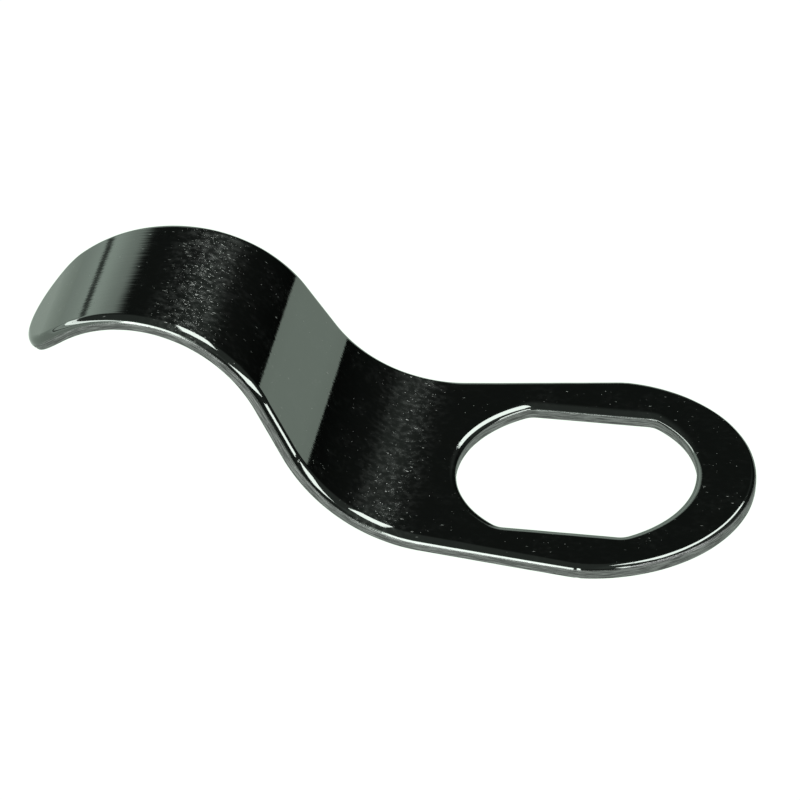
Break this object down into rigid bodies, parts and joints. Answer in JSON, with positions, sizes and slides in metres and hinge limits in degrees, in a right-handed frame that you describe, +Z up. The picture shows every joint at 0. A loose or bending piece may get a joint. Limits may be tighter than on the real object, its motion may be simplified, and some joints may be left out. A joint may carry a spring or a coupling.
{
  "type": "finger pull",
  "caption": "Bent sheet-metal finger pull for a cam lock: flat pad with a double-D hole and a tapering S-shaped tongue that curls down at its round tip.",
  "frame": {"origin": "centre of the double-D hole, on the pad's underside", "axes": "+Z up through the pad along the hole's axis, +X towards the pad's round end, so the tongue runs towards -X"},
  "size_m": [0.0585, 0.026, 0.0171],
  "materials": {
    "plated_steel": "bright, mirror-smooth dark plating over stamped steel, like black nickel, with the sheared edges duller and greyer"
  },
  "bodies": {
    "root": {"finger_pull": "plated_steel"}
  },
  "joints": []
}
